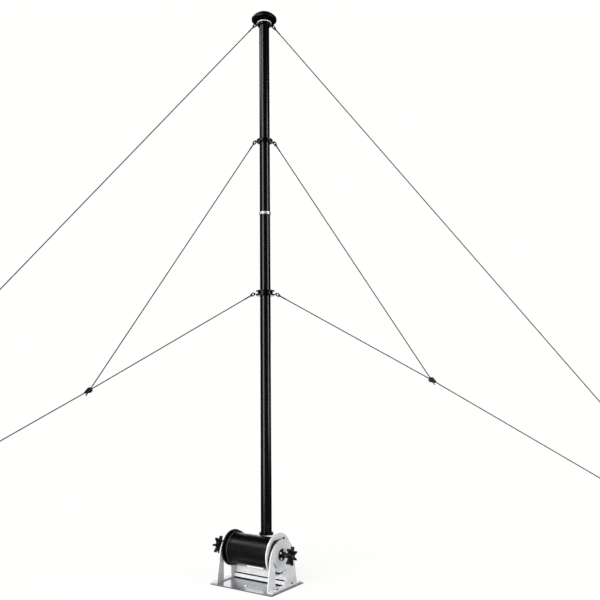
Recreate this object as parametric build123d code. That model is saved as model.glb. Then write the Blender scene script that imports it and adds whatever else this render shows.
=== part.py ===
from build123d import *
import os
from math import acos, atan2, cos, degrees, hypot, radians, sin, sqrt

# Roll-up tube mast on a reel stand. Millimetres, +Z up, X along the reel's axle, +Y to the back.
# The origin lies on the underside of the base plate, below the middle of the reel.

os.makedirs("parts", exist_ok=True)

# --- clearances ---
FIT = 0.3  # between pieces that sit round or through each other and don't move
RUN = 0.05  # radial running clearance of a turning piece on the axle
SWEEP = 5.0  # room kept beside a turning piece
CUT = 1.0  # how far a cutting shape reaches past the face it cuts

# --- base plate ---
BASE_LENGTH = 544.0
BASE_DEPTH = 380.0
BASE_THICK = 8.0
BASE_SHIFT = 8.0  # the plate reaches this much further out on its right
BASE_CORNER = 12.0
MOUNT_HOLE = 12.0
MOUNT_SPACING = 280.0  # from the front holes to the back ones

# --- side plates: an arch-shaped sheet with a window and a foot bent outwards ---
BASE_MARGIN = 6.0  # of the base beyond a foot, before its shift
PLATE_THICK = 8.0
PLATE_SHIFT = 8.0  # the plates' middle stands this much behind the axle
FOOT_WIDTH = 40.0
FOOT_HALF = 170.0
ARCH_RADIUS = 140.0
ARCH_DROP = 40.0  # of the arch's middle below the axle
WINDOW_LEFT_FRONT = -92.0  # the windows' front and back edges, from the axle
WINDOW_LEFT_BACK = -8.0
WINDOW_RIGHT_FRONT = -74.0
WINDOW_RIGHT_BACK = 50.0
WINDOW_RADIUS = 116.0  # the windows' top follows a circle round the axle
SLOT_RADIUS = 97.0  # a curved slot in the right plate
SLOT_WIDTH = 11.0
SLOT_FROM = 203.0  # degrees from +Y
SLOT_SWEEP = 31.0

# --- axle and reel ---
AXLE_HEIGHT = 224.0
AXLE_RADIUS = 12.5
DRUM_RADIUS = 105.0
DRUM_WALL = 4.0
FLANGE_LEFT_RADIUS = 125.0
FLANGE_RIGHT_RADIUS = 143.0
FLANGE_LEFT_GAP = 6.0  # from the left side plate
FLANGE_LEFT_THICK = 8.0
FLANGE_RIGHT_THICK = 8.0
FLANGE_BEAD = 10.0  # radial width of the thick rim on the left flange
FLANGE_BEAD_PROUD = 4.0
BEARING_RADIUS = 24.0
BEARING_LENGTH = 30.0
LOCK_HOLE = 13.0
LOCK_HOLE_RADIUS = 114.0
LOCK_HOLE_TURN = 32.0  # degrees back from the top
BRAKE_RADIUS = 128.0
BRAKE_BORE_RADIUS = 70.0
BRAKE_THICK = 13.0
SHOE_RADIUS = 117.0  # the housing's brake shoe, which shows in front of the plate's arch
SHOE_RISE = 101.0  # of the shoe's top above the axle

# --- axle ends ---
HUB_RADIUS = 39.0
HUB_THICK = 7.0
SLEEVE_RADIUS = 17.0
KNOB_GAP = 2.0
KNOB_RADIUS = 64.0
KNOB_CORE = 30.0
KNOB_THICK = 24.0
KNOB_ARM = 15.0
KNOB_ARMS = 7
KNOB_FIRST_ARM = 18.0  # degrees from +Y
KNOB_CAP = 5.0  # closed end over the axle
KNOB_REACH_LEFT = 128.0  # from a side plate's outer face to the knob's outer face
KNOB_REACH_RIGHT = 91.0

# --- tie bars between the side plates ---
BAR_DEPTH = 12.0
BAR_FRONT_Y = 44.0
BAR_UPPER_HEIGHT = 17.0
BAR_UPPER_Z = 40.0
BAR_WEB = 3.0  # thickness of an upright web along a bar
BAR_LOWER_FRONT_Y = 29.0
BAR_LOWER_HEIGHT = 9.0
BAR_SLOT = 2.0  # between the lower bar's web and the height of the upper bar's underside

# --- mast tube: a rolled strip whose edges lap at the back ---
MAST_Y = 123.0
MAST_RADIUS = 40.0
MAST_WALL = 3.0
LAP_THICK = 2.5
LAP_HALF = 14.0  # degrees
MAST_FOOT_RISE = 73.0  # above the axle
MAST_TOP_Z = 4260.0

# --- strip that leaves the drum and curls into the tube ---
STRIP_THICK = 3.0
STRIP_GAP = 5.5  # from the drum, for the strip and the guide
STRIP_FOOT_DROP = 8.0  # below the axle
STRIP_FLAT_RADIUS = 150.0
STRIP_FLAT_HALF = 41.0  # degrees to each side of the middle
STRIP_MIDDLE_RADIUS = 72.0
STRIP_MIDDLE_HALF = 92.0
STRIP_TOP_HALF = 172.0

# --- mast guide behind the drum ---
GUIDE_PLATE_RISE = 2.0  # above the mast tube's foot
GUIDE_PLATE_THICK = 10.0
GUIDE_PLATE_WIDTH = 120.0
GUIDE_PLATE_BACK = 46.0  # behind the mast's middle
GUIDE_BOSS_RADIUS = 53.0  # a low round boss on the guide's plate, under the foot ring
GUIDE_BOSS_HEIGHT = 5.0
GUIDE_FRONT_Y = 116.0
GUIDE_CHEEK_DEPTH = 38.0
GUIDE_CHEEK_THICK = 7.0
GUIDE_TOP_INSET = 4.0  # of the cheeks below the plate's ends
GUIDE_FOOT_DROP = 34.0  # below the axle
GUIDE_FOOT_THICK = 8.0
GUIDE_FOOT_WIDTH = 254.0
POST_WIDTH = 50.0
POST_DEPTH = 30.0
POST_WALL = 3.0
POST_FOOT_WIDTH = 90.0
POST_FOOT_DEPTH = 52.0
POST_FOOT_THICK = 6.0
FOOT_RING_RADIUS = 51.5
FOOT_RING_HEIGHT = 14.0

# --- bands and collars on the mast ---
BAND_Z = 2683.0
BAND_HEIGHT = 20.0
BAND_WALL = 5.0
BAND_EAR = 14.0
LOWER_COLLAR_Z = 2056.0
LOWER_COLLAR_HEIGHT = 41.0
LOWER_COLLAR_RADIUS = 70.0
LOWER_COLLAR_CORE = 55.0
LOWER_COLLAR_FLANGE = 11.0
UPPER_COLLAR_Z = 3258.0
UPPER_COLLAR_HEIGHT = 20.0
UPPER_COLLAR_RADIUS = 64.0
SLEEVE_HEIGHT = 42.0  # of the sleeve under the cap
CAP_SLEEVE_RADIUS = 53.5
CAP_RADIUS = 99.0
CAP_RIM = 17.0
CAP_DOME = 50.0
CAP_WALL = 6.0
CAP_BOSS_RADIUS = 57.0  # the solid middle that stands on the mast and its sleeve

# --- eyes, links and ropes ---
EYE_THICK = 5.0
EYE_HOLE_RADIUS = 7.0
EYE_RIM = 6.0
LOWER_EYE_RADIUS = 78.0  # from the mast's middle to the middle of an eye's hole
UPPER_EYE_RADIUS = 65.0
TOP_EYE_RADIUS = 60.0
LINK_WIRE_RADIUS = 4.0
LINK_BEND_RADIUS = 9.0
LINK_SPAN = 14.0
ROPE_RADIUS = 4.0
THIMBLE_RADIUS = 10.0
THIMBLE_WIRE_RADIUS = 4.5  # the spliced loop is a little thicker than its rope
SEAT_GAP = 0.3

# --- guy lines, in the upright plane at GUY_AZIMUTH through the mast ---
GUY_AZIMUTH = 45.0
CLAMP_REACH_LEFT = 1260.0
CLAMP_REACH_RIGHT = 1302.0
CLAMP_Z_LEFT = 1365.0
CLAMP_Z_RIGHT = 1415.0
CLAMP_LENGTH = 62.0
CLAMP_HEIGHT = 40.0
CLAMP_THICK = 26.0
CLAMP_TIP = 8.0
ANCHOR_REACH_LEFT = 3575.0
ANCHOR_REACH_RIGHT = 3762.0
ANCHOR_LENGTH = 170.0
ANCHOR_WIDTH = 110.0
ANCHOR_THICK = 8.0
ANCHOR_CORNER = 14.0
LUG_LENGTH = 92.0
LUG_CORNER = 1.0
LOW_EYE_REACH = -34.0  # from the anchor's middle
LOW_EYE_HEIGHT = 34.0
HIGH_EYE_REACH = 26.0
HIGH_EYE_HEIGHT = 54.0

PLATE_OUTER = BASE_LENGTH / 2 - BASE_MARGIN - FOOT_WIDTH
PLATE_INNER = PLATE_OUTER - PLATE_THICK
ARCH_Z = AXLE_HEIGHT - ARCH_DROP
WINDOWS = {-1: (WINDOW_LEFT_FRONT, WINDOW_LEFT_BACK), 1: (WINDOW_RIGHT_FRONT, WINDOW_RIGHT_BACK)}
MAST_FOOT_Z = AXLE_HEIGHT + MAST_FOOT_RISE
STRIP_FOOT_Z = AXLE_HEIGHT - STRIP_FOOT_DROP
GUIDE_FOOT_Z = AXLE_HEIGHT - GUIDE_FOOT_DROP
BASE_TOP = BASE_THICK
FLANGE_LEFT_X = FLANGE_LEFT_GAP - PLATE_INNER
FLANGE_RIGHT_X = PLATE_INNER - BRAKE_THICK - SWEEP
DRUM_LEFT = FLANGE_LEFT_X + FLANGE_LEFT_THICK
DRUM_RIGHT = FLANGE_RIGHT_X - FLANGE_RIGHT_THICK
GUIDE_PLATE_Z = MAST_FOOT_Z + GUIDE_PLATE_RISE
GUIDE_PLATE_TOP = GUIDE_PLATE_Z + GUIDE_PLATE_THICK
GUIDE_TOP_Z = GUIDE_PLATE_TOP + GUIDE_BOSS_HEIGHT
POST_Y = GUIDE_FRONT_Y + GUIDE_CHEEK_DEPTH / 2
SLEEVE_Z = MAST_TOP_Z - SLEEVE_HEIGHT
CLAMP_AT = {-1: (CLAMP_REACH_LEFT, CLAMP_Z_LEFT), 1: (CLAMP_REACH_RIGHT, CLAMP_Z_RIGHT)}
ANCHOR_LOW_EYE = (LOW_EYE_REACH, LOW_EYE_HEIGHT)
ANCHOR_HIGH_EYE = (HIGH_EYE_REACH, HIGH_EYE_HEIGHT)
ANCHOR_REACH = {-1: ANCHOR_REACH_LEFT, 1: ANCHOR_REACH_RIGHT}
LOWER_EYE_Z = LOWER_COLLAR_Z + LOWER_COLLAR_FLANGE + EYE_THICK / 2
EYE_END = EYE_HOLE_RADIUS + EYE_RIM
RIM_REACH = EYE_HOLE_RADIUS + EYE_RIM / 2  # from the middle of an eye's hole to the middle of its rim
# How far a link's bend moves along its rope until it bears on the corner of the eye's rim.
LINK_SEAT = LINK_BEND_RADIUS - LINK_WIRE_RADIUS - hypot(EYE_RIM, EYE_THICK) / 2 - SEAT_GAP


def save(node, name):
    node.label = name
    export_step(node, f"parts/{name}.step")


def x_cylinder(radius, x0, x1, y=0.0, z=AXLE_HEIGHT):
    """A cylinder along X from x0 to x1."""
    return Plane((x0, y, z), x_dir=(0, 1, 0), z_dir=(1, 0, 0)) * extrude(Circle(radius), x1 - x0)


def z_cylinder(radius, z0, z1, x=0.0, y=0.0):
    """An upright cylinder from z0 to z1."""
    return Pos(x, y, z0) * extrude(Circle(radius), z1 - z0)


def block(x0, x1, y0, y1, z0, z1):
    """A box between two corners."""
    return Pos((x0 + x1) / 2, (y0 + y1) / 2, (z0 + z1) / 2) * Box(x1 - x0, y1 - y0, z1 - z0)


def mast_core(z0, z1, clearance=0.0):
    """The mast's outer shape with its lap, grown by a clearance: what a collar's bore goes round."""
    outline = Circle(MAST_RADIUS + clearance)
    reach = MAST_RADIUS + LAP_THICK + clearance
    half = radians(LAP_HALF) + clearance / MAST_RADIUS
    wedge = Polygon((0, 0), (-2 * reach * sin(half), 2 * reach * cos(half)),
                    (2 * reach * sin(half), 2 * reach * cos(half)), align=None)
    outline += Circle(reach) & wedge
    return Pos(0, MAST_Y, z0) * extrude(outline, z1 - z0)


# --- base and side plates ---
def base_plate():
    outline = RectangleRounded(BASE_LENGTH, BASE_DEPTH, BASE_CORNER)
    plate = Pos(BASE_SHIFT, 0, 0) * extrude(outline, BASE_THICK)
    return plate - mount_holes(0.0, BASE_TOP)


def mount_holes(z0, z1):
    """The four fixing holes, which pass through the feet and the base plate."""
    hole_x = PLATE_OUTER + FOOT_WIDTH / 2
    return [z_cylinder(MOUNT_HOLE / 2, z0 - CUT, z1 + CUT, sx * hole_x, sy * MOUNT_SPACING / 2)
            for sx in (-1, 1) for sy in (-1, 1)]


def plate_outline():
    """A side plate's outline in Y and Z: two straight legs that run into an arch."""
    rise = ARCH_Z - BASE_TOP
    turn = atan2(rise, FOOT_HALF) - acos(ARCH_RADIUS / hypot(FOOT_HALF, rise))
    touch_y = ARCH_RADIUS * cos(turn)
    touch_z = ARCH_Z - ARCH_RADIUS * sin(turn)
    legs = Polygon((-FOOT_HALF, BASE_TOP), (FOOT_HALF, BASE_TOP), (touch_y, touch_z), (-touch_y, touch_z),
                   align=None)
    return Pos(PLATE_SHIFT, 0) * (legs + Pos(0, ARCH_Z) * Circle(ARCH_RADIUS))


def side_plate(side):
    front, back = WINDOWS[side]
    window_z = BASE_TOP + PLATE_THICK
    window = Polygon((front, window_z), (back, window_z), (back, AXLE_HEIGHT), (front, AXLE_HEIGHT),
                     align=None)
    window -= Pos(0, AXLE_HEIGHT) * Circle(WINDOW_RADIUS)
    outline = plate_outline() - window - Pos(0, AXLE_HEIGHT) * Circle(AXLE_RADIUS + RUN)
    if side > 0:
        middle = CenterArc((0, AXLE_HEIGHT), SLOT_RADIUS, SLOT_FROM, SLOT_SWEEP)
        outline -= SlotArc(middle, SLOT_WIDTH)
    inner = Plane((side * PLATE_INNER, 0, 0), x_dir=(0, 1, 0), z_dir=(1, 0, 0))
    sheet = extrude(inner * outline, side * PLATE_THICK)
    xs = sorted((side * PLATE_INNER, side * (PLATE_OUTER + FOOT_WIDTH)))
    foot = block(*xs, PLATE_SHIFT - FOOT_HALF, PLATE_SHIFT + FOOT_HALF, BASE_TOP, window_z)
    return sheet + foot - mount_holes(BASE_TOP, window_z)


def tie_bar_upper():
    """A bar with a thin upright web along its back, which ends just under the reel's larger flange."""
    top = BAR_UPPER_Z + BAR_UPPER_HEIGHT
    back = BAR_FRONT_Y + BAR_DEPTH
    web = back - BAR_WEB
    web_top = AXLE_HEIGHT - sqrt((FLANGE_RIGHT_RADIUS + SWEEP)**2 - web**2)
    bar = block(-PLATE_INNER, PLATE_INNER, BAR_FRONT_Y, back, BAR_UPPER_Z, top)
    return bar + block(-PLATE_INNER, PLATE_INNER, web, back, top, web_top)


def tie_bar_lower():
    """A flat bar on the base with a thin upright web along its front."""
    front, back = BAR_LOWER_FRONT_Y, BAR_FRONT_Y + BAR_DEPTH
    top = BASE_TOP + BAR_LOWER_HEIGHT
    bar = block(-PLATE_INNER, PLATE_INNER, front, back, BASE_TOP, top)
    return bar + block(-PLATE_INNER, PLATE_INNER, front, front + BAR_WEB, top, BAR_UPPER_Z - BAR_SLOT)


# --- reel ---
def flange_left():
    disc = x_cylinder(FLANGE_LEFT_RADIUS, FLANGE_LEFT_X, DRUM_LEFT)
    bead = x_cylinder(FLANGE_LEFT_RADIUS, DRUM_LEFT, DRUM_LEFT + FLANGE_BEAD_PROUD)
    bead -= x_cylinder(FLANGE_LEFT_RADIUS - FLANGE_BEAD, DRUM_LEFT, DRUM_LEFT + FLANGE_BEAD_PROUD)
    bearing = x_cylinder(BEARING_RADIUS, DRUM_LEFT, DRUM_LEFT + BEARING_LENGTH)
    bore = x_cylinder(AXLE_RADIUS + RUN, FLANGE_LEFT_X - CUT, DRUM_LEFT + BEARING_LENGTH + CUT)
    return disc + bead + bearing - bore


def flange_right():
    disc = x_cylinder(FLANGE_RIGHT_RADIUS, DRUM_RIGHT, FLANGE_RIGHT_X)
    bearing = x_cylinder(BEARING_RADIUS, DRUM_RIGHT - BEARING_LENGTH, DRUM_RIGHT)
    bore = x_cylinder(AXLE_RADIUS + RUN, DRUM_RIGHT - BEARING_LENGTH - CUT, FLANGE_RIGHT_X + CUT)
    turn = radians(LOCK_HOLE_TURN)
    lock = x_cylinder(LOCK_HOLE / 2, DRUM_RIGHT - CUT, FLANGE_RIGHT_X + CUT,
                      LOCK_HOLE_RADIUS * sin(turn), AXLE_HEIGHT + LOCK_HOLE_RADIUS * cos(turn))
    return disc + bearing - bore - lock


def reel_drum():
    shell = x_cylinder(DRUM_RADIUS, DRUM_LEFT, DRUM_RIGHT)
    return shell - x_cylinder(DRUM_RADIUS - DRUM_WALL, DRUM_LEFT, DRUM_RIGHT)


def brake_housing():
    """A ring behind the right side plate's head that ends where the plate's arch does, but for its shoe."""
    outline = plate_outline() & (Pos(0, AXLE_HEIGHT) * Circle(BRAKE_RADIUS))
    corner = Pos(-SHOE_RADIUS / 2, AXLE_HEIGHT + SHOE_RISE / 2) * Rectangle(SHOE_RADIUS, SHOE_RISE)
    outline += (Pos(0, AXLE_HEIGHT) * Circle(SHOE_RADIUS)) & corner
    outline -= Pos(0, AXLE_HEIGHT) * Circle(BRAKE_BORE_RADIUS)
    face = Plane((PLATE_INNER, 0, 0), x_dir=(0, 1, 0), z_dir=(1, 0, 0))
    return extrude(face * outline, -BRAKE_THICK)


# --- axle ends ---
def knob_faces(side):
    """Inner and outer X of a star knob."""
    reach = KNOB_REACH_LEFT if side < 0 else KNOB_REACH_RIGHT
    return side * (PLATE_OUTER + reach - KNOB_THICK), side * (PLATE_OUTER + reach)


def axle():
    ends = [knob_faces(side)[1] - side * KNOB_CAP for side in (-1, 1)]
    return x_cylinder(AXLE_RADIUS, *ends)


def hub(side):
    inner = knob_faces(side)[0]
    boss = x_cylinder(HUB_RADIUS, *sorted((side * PLATE_OUTER, side * (PLATE_OUTER + HUB_THICK))))
    sleeve = x_cylinder(SLEEVE_RADIUS, *sorted((side * PLATE_OUTER, inner - side * KNOB_GAP)))
    bore = x_cylinder(AXLE_RADIUS + RUN, *sorted((side * (PLATE_OUTER - CUT), inner)))
    return boss + sleeve - bore


def star_knob(side):
    inner, outer = knob_faces(side)
    star = Circle(KNOB_CORE)
    arm_length = KNOB_RADIUS - KNOB_ARM / 2
    for n in range(KNOB_ARMS):
        arm = Pos(arm_length / 2, 0) * Rectangle(arm_length, KNOB_ARM)
        arm += Pos(arm_length, 0) * Circle(KNOB_ARM / 2)
        star += Rot(0, 0, KNOB_FIRST_ARM + n * 360 / KNOB_ARMS) * arm
    face = Plane((min(inner, outer), 0, AXLE_HEIGHT), x_dir=(0, 1, 0), z_dir=(1, 0, 0))
    body = extrude(face * star, KNOB_THICK)
    bore = x_cylinder(AXLE_RADIUS + RUN, *sorted((inner - side * CUT, outer - side * (KNOB_CAP - FIT))))
    return body - bore


# --- mast and its guide ---
def strip_section(radius, half, z, front):
    """A C-shaped slice of the strip: its middle at the front, its edges curled to the back."""
    centre = front + radius
    inner = radius - STRIP_THICK
    a = radians(half)

    def arc(r):
        ends = [(side * r * sin(a), centre - r * cos(a), z) for side in (-1, 1)]
        return ThreePointArc(ends[0], (0, centre - r, z), ends[1])

    outer_arc, inner_arc = arc(radius), arc(inner)
    caps = [Line(outer_arc @ 0, inner_arc @ 0), Line(outer_arc @ 1, inner_arc @ 1)]
    return make_face([outer_arc, inner_arc] + caps)


def behind_drum(z):
    """Y of what stands behind the turning drum at this height, just clear of it."""
    rise = z - AXLE_HEIGHT
    return sqrt(DRUM_RADIUS**2 - rise**2) + STRIP_GAP


def mast_strip():
    middle_z = (STRIP_FOOT_Z + MAST_FOOT_Z) / 2
    sections = [
        strip_section(STRIP_FLAT_RADIUS, STRIP_FLAT_HALF, STRIP_FOOT_Z, behind_drum(STRIP_FOOT_Z)),
        strip_section(STRIP_MIDDLE_RADIUS, STRIP_MIDDLE_HALF, middle_z, behind_drum(middle_z)),
        strip_section(MAST_RADIUS, STRIP_TOP_HALF, MAST_FOOT_Z, MAST_Y - MAST_RADIUS),
    ]
    return loft(sections, ruled=False)


def mast_tube():
    tube = mast_core(MAST_FOOT_Z, MAST_TOP_Z)
    return tube - z_cylinder(MAST_RADIUS - MAST_WALL, MAST_FOOT_Z, MAST_TOP_Z, y=MAST_Y)


def guide_yoke():
    """A plate that the mast stands through, on a trapezium frame behind the drum."""
    half = GUIDE_PLATE_WIDTH / 2
    plate_back = MAST_Y + GUIDE_PLATE_BACK
    plate = block(-half, half, behind_drum(GUIDE_PLATE_Z), plate_back, GUIDE_PLATE_Z, GUIDE_PLATE_TOP)
    plate += z_cylinder(GUIDE_BOSS_RADIUS, GUIDE_PLATE_TOP, GUIDE_TOP_Z, y=MAST_Y)
    foot_top = GUIDE_FOOT_Z + GUIDE_FOOT_THICK
    foot = GUIDE_FOOT_WIDTH / 2
    top = half - GUIDE_TOP_INSET
    frame = Polygon((-foot, GUIDE_FOOT_Z), (foot, GUIDE_FOOT_Z), (foot, foot_top), (top, GUIDE_PLATE_Z),
                    (-top, GUIDE_PLATE_Z), (-foot, foot_top), align=None)
    inner_foot = foot - GUIDE_CHEEK_THICK
    inner_top = top - GUIDE_CHEEK_THICK
    frame -= Polygon((-inner_foot, foot_top), (inner_foot, foot_top), (inner_top, GUIDE_PLATE_Z),
                     (-inner_top, GUIDE_PLATE_Z), align=None)
    back = GUIDE_FRONT_Y + GUIDE_CHEEK_DEPTH
    yoke = plate + Pos(0, back, 0) * (Plane.XZ * extrude(frame, GUIDE_CHEEK_DEPTH))
    return yoke - mast_core(GUIDE_PLATE_Z - CUT, GUIDE_TOP_Z + CUT, FIT)


def guide_post():
    foot_top = BASE_TOP + POST_FOOT_THICK
    foot = block(-POST_FOOT_WIDTH / 2, POST_FOOT_WIDTH / 2, POST_Y - POST_FOOT_DEPTH / 2,
                 POST_Y + POST_FOOT_DEPTH / 2, BASE_TOP, foot_top)
    w, d = POST_WIDTH / 2, POST_DEPTH / 2
    post = block(-w, w, POST_Y - d, POST_Y + d, foot_top, GUIDE_FOOT_Z)
    w, d = w - POST_WALL, d - POST_WALL
    return foot + post - block(-w, w, POST_Y - d, POST_Y + d, foot_top, GUIDE_FOOT_Z)


def foot_ring():
    z1 = GUIDE_TOP_Z + FOOT_RING_HEIGHT
    ring = z_cylinder(FOOT_RING_RADIUS, GUIDE_TOP_Z, z1, y=MAST_Y)
    return ring - mast_core(GUIDE_TOP_Z - CUT, z1 + CUT, FIT)


def joint_band():
    z1 = BAND_Z + BAND_HEIGHT
    radius = MAST_RADIUS + FIT + BAND_WALL
    ring = z_cylinder(radius, BAND_Z, z1, y=MAST_Y)
    ear = block(-BAND_EAR / 2, BAND_EAR / 2, MAST_Y, MAST_Y + radius + BAND_EAR, BAND_Z, z1)
    return ring + ear - mast_core(BAND_Z - CUT, z1 + CUT, FIT)


# --- collars, eyes and cap ---
def eye(side, hole_reach, z):
    """A flat eye on a collar: a tongue with a round end and a hole, its hole at hole_reach."""
    tongue = Pos(hole_reach / 2, 0) * Rectangle(hole_reach, 2 * EYE_END)
    tongue += Pos(hole_reach, 0) * Circle(EYE_END)
    tongue -= Pos(hole_reach, 0) * Circle(EYE_HOLE_RADIUS)
    turn = GUY_AZIMUTH if side > 0 else GUY_AZIMUTH + 180
    return Pos(0, MAST_Y, z) * Rot(0, 0, turn) * extrude(tongue, EYE_THICK)


def lower_collar():
    z1 = LOWER_COLLAR_Z + LOWER_COLLAR_HEIGHT
    collar = z_cylinder(LOWER_COLLAR_CORE, LOWER_COLLAR_Z, z1, y=MAST_Y)
    for z in (LOWER_COLLAR_Z, z1 - LOWER_COLLAR_FLANGE):
        collar += z_cylinder(LOWER_COLLAR_RADIUS, z, z + LOWER_COLLAR_FLANGE, y=MAST_Y)
    for side in (-1, 1):
        collar += eye(side, LOWER_EYE_RADIUS, LOWER_EYE_Z - EYE_THICK / 2)
    return collar - mast_core(LOWER_COLLAR_Z - CUT, z1 + CUT, FIT)


def upper_collar():
    z1 = UPPER_COLLAR_Z + UPPER_COLLAR_HEIGHT
    collar = z_cylinder(UPPER_COLLAR_RADIUS, UPPER_COLLAR_Z, z1, y=MAST_Y)
    for side in (-1, 1):
        collar -= at_eye(side, UPPER_EYE_RADIUS, EYE_HOLE_RADIUS, UPPER_COLLAR_Z - CUT, z1)
        collar += eye(side, UPPER_EYE_RADIUS, UPPER_COLLAR_Z)
        collar -= at_eye(side, UPPER_EYE_RADIUS, EYE_END, UPPER_COLLAR_Z + EYE_THICK, z1 + CUT)
    return collar - mast_core(UPPER_COLLAR_Z - CUT, z1 + CUT, FIT)


def at_eye(side, hole_reach, radius, z0, z1):
    """An upright cylinder round the middle of an eye's hole: the hole itself, or room for its link."""
    turn = radians(GUY_AZIMUTH)
    reach = side * hole_reach
    return z_cylinder(radius, z0, z1, reach * cos(turn), MAST_Y + reach * sin(turn))


def cap_sleeve():
    z1 = MAST_TOP_Z
    sleeve = z_cylinder(CAP_SLEEVE_RADIUS, SLEEVE_Z, z1, y=MAST_Y)
    for side in (-1, 1):
        sleeve += eye(side, TOP_EYE_RADIUS, SLEEVE_Z)
    return sleeve - mast_core(SLEEVE_Z - CUT, z1 + CUT, FIT)


def mast_cap():
    """A mushroom cap: a flat rim, a shallow dome over it, and a ring-shaped hollow round a solid middle."""
    rim_top = MAST_TOP_Z + CAP_RIM
    top = rim_top + CAP_DOME
    ball = (CAP_RADIUS**2 + CAP_DOME**2) / (2 * CAP_DOME)
    centre = Pos(0, MAST_Y, top - ball)
    cap = z_cylinder(CAP_RADIUS, MAST_TOP_Z, rim_top, y=MAST_Y)
    cap += (centre * Sphere(ball)) & z_cylinder(CAP_RADIUS, rim_top, top + CUT, y=MAST_Y)
    hollow = z_cylinder(CAP_RADIUS - CAP_WALL, MAST_TOP_Z - CUT, top, y=MAST_Y)
    hollow &= centre * Sphere(ball - CAP_WALL)
    return cap - (hollow - z_cylinder(CAP_BOSS_RADIUS, MAST_TOP_Z - CUT, top, y=MAST_Y))


# --- guy lines ---
def guy_plane(side):
    """Outward and sideways unit vectors of one side's guy lines."""
    turn = radians(GUY_AZIMUTH)
    outward = Vector(cos(turn), sin(turn), 0) * side
    return outward, Vector(0, 0, 1).cross(outward)


def spot(side, reach, z):
    """A point in a guy plane, from its reach from the mast's middle and its height."""
    outward, _ = guy_plane(side)
    return Vector(0, MAST_Y, z) + outward * reach


def link(start, direction, normal):
    """A closed oval link of round wire in the plane with this normal: start is its first bend's centre."""
    across = normal.cross(direction)
    frame = Plane(start, x_dir=direction, z_dir=normal)
    bend = Torus(LINK_BEND_RADIUS, LINK_WIRE_RADIUS, major_angle=180, align=None)
    body = frame * (Pos(LINK_SPAN, 0, 0) * Rot(0, 0, -90) * bend)
    body += frame * (Rot(0, 0, 90) * bend)
    for sign in (-1, 1):
        foot = start + across * (sign * LINK_BEND_RADIUS)
        leg = Plane(foot, x_dir=normal, z_dir=direction) * extrude(Circle(LINK_WIRE_RADIUS), LINK_SPAN)
        body += leg
    return body


def link_end():
    """How far past the start of a link its rope's thimble has its middle."""
    far_side = LINK_SPAN + LINK_BEND_RADIUS - LINK_WIRE_RADIUS
    return far_side - SEAT_GAP - THIMBLE_WIRE_RADIUS + THIMBLE_RADIUS


def thimble(middle, direction, normal):
    frame = Plane(middle, x_dir=direction, z_dir=normal)
    return frame * Torus(THIMBLE_RADIUS, THIMBLE_WIRE_RADIUS)


def rope(start, end):
    run = end - start
    frame = Plane(start, z_dir=run.normalized())
    return frame * extrude(Circle(ROPE_RADIUS), run.length)


def rim_point(side, hole_reach, z):
    """The middle of an eye's rim beyond its hole, which a link's first bend goes round."""
    return spot(side, hole_reach + RIM_REACH, z)


def linked_end(rim, toward, normal):
    """A link round an eye's rim, its rope's thimble, and where that rope's straight run starts."""
    direction = (toward - rim).normalized()
    sideways = direction.cross(normal)
    start = rim + direction * LINK_SEAT
    middle = start + direction * link_end()
    parts = link(start, direction, normal), thimble(middle, direction, sideways)
    return *parts, middle + direction * THIMBLE_RADIUS


def clamp_body(side):
    """The wedge that holds the upper guy on the lower one: a rounded wedge in the guy plane."""
    _, sideways = guy_plane(side)
    middle = spot(side, *CLAMP_AT[side])
    low = (spot(side, ANCHOR_REACH[side], 0) - middle).normalized()
    frame = Plane(middle - sideways * (CLAMP_THICK / 2), x_dir=low, z_dir=sideways)
    half = CLAMP_HEIGHT / 2
    tip = Pos(CLAMP_LENGTH - half - CLAMP_TIP, 0) * Circle(CLAMP_TIP)
    outline = make_hull([Circle(half).edge(), tip.edge()])
    return frame * extrude(outline, CLAMP_THICK)


def ground_anchor(side):
    outward, sideways = guy_plane(side)
    middle = spot(side, ANCHOR_REACH[side], 0)
    plate_frame = Plane(middle, x_dir=outward, z_dir=(0, 0, 1))
    plate = plate_frame * extrude(RectangleRounded(ANCHOR_LENGTH, ANCHOR_WIDTH, ANCHOR_CORNER), ANCHOR_THICK)
    corners = [Pos(end * LUG_LENGTH / 2, ANCHOR_THICK) * Circle(LUG_CORNER) for end in (-1, 1)]
    corners += [Pos(*at) * Circle(EYE_END) for at in (ANCHOR_LOW_EYE, ANCHOR_HIGH_EYE)]
    outline = make_hull([circle.edge() for circle in corners])
    for at in (ANCHOR_LOW_EYE, ANCHOR_HIGH_EYE):
        outline -= Pos(*at) * Circle(EYE_HOLE_RADIUS)
    outline &= Pos(0, ANCHOR_THICK + LUG_LENGTH) * Rectangle(2 * LUG_LENGTH, 2 * LUG_LENGTH)
    edge = middle + sideways * (EYE_THICK / 2)
    lug = Plane(edge, x_dir=outward, z_dir=outward.cross(Vector(0, 0, 1))) * extrude(outline, EYE_THICK)
    return plate + lug


def anchor_rim(side, at, toward):
    """The middle of an anchor eye's rim on the side that a rope pulls it."""
    hole = spot(side, ANCHOR_REACH[side] + at[0], at[1])
    return hole + (toward - hole).normalized() * RIM_REACH


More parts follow.
